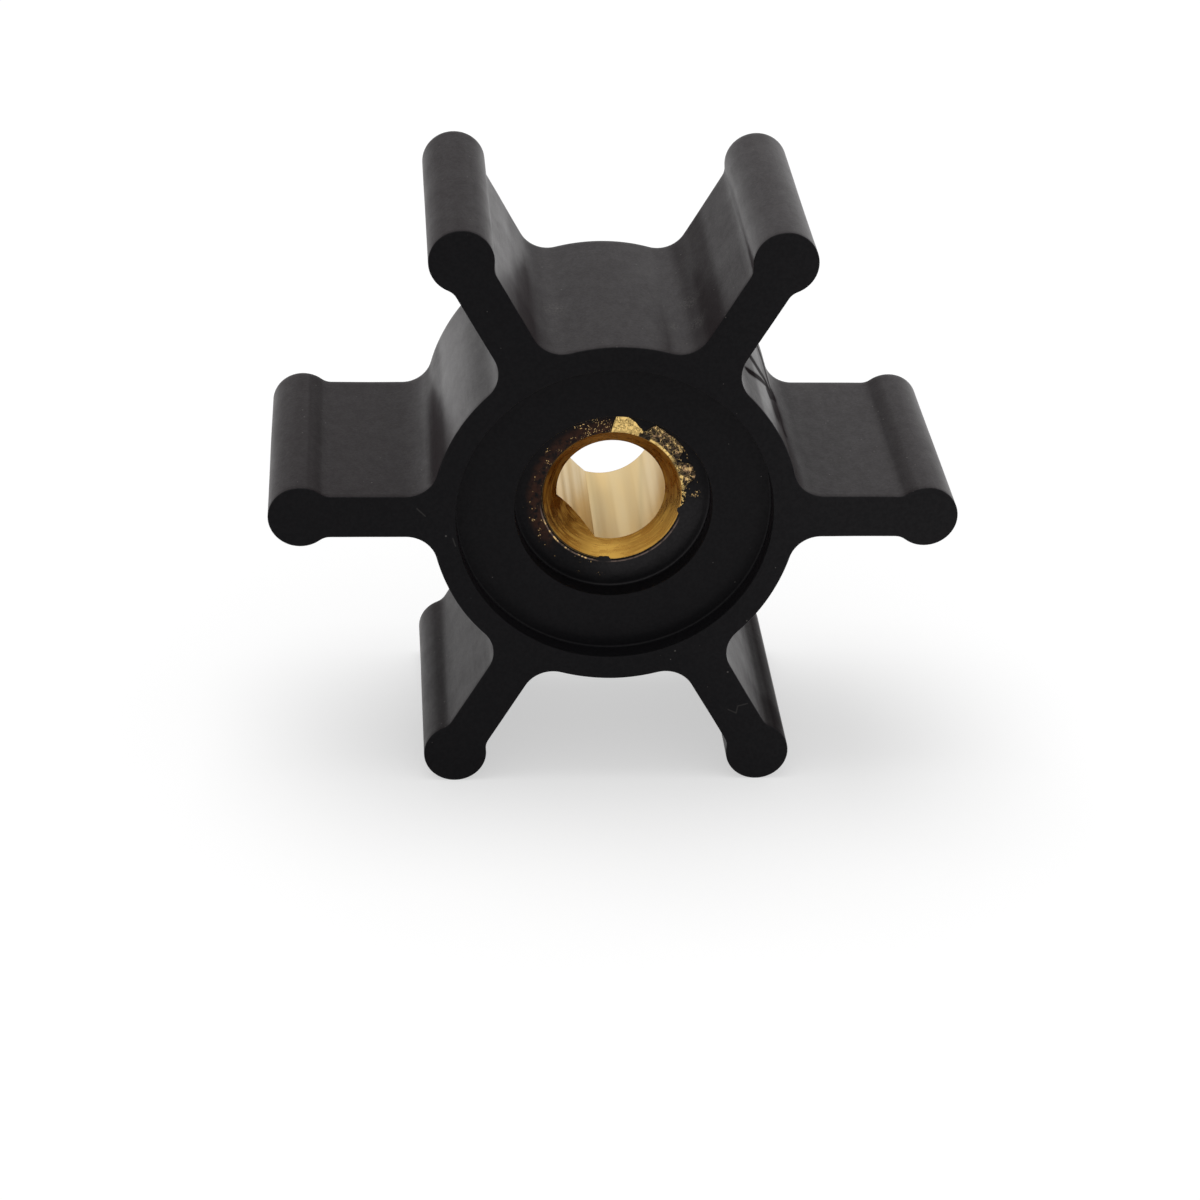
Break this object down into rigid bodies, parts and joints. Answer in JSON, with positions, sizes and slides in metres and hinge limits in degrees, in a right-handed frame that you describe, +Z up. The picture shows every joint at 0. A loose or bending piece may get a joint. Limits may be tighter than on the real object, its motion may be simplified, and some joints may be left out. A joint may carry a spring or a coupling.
{
  "type": "flexible pump impeller",
  "caption": "Flexible rubber pump impeller: straight vanes with beaded tips on a hub, moulded round a brass bush with a D-shaped bore that drives it.",
  "frame": {"origin": "on the shaft axis, half way between the two end faces", "axes": "+Y along the shaft axis, towards the rear end face; +Z up as it stands on two vane tips; +X to the right seen from the front, through a vane tip"},
  "size_m": [0.05, 0.0206, 0.044],
  "materials": {
    "black_rubber": "matt moulded black rubber, with faint streaks and scuffs",
    "turned_brass": "turned and drawn brass, dull, with fine turning marks in the countersinks"
  },
  "bodies": {
    "root": {"impeller_body": "black_rubber", "shaft_bush": "turned_brass"}
  },
  "joints": []
}
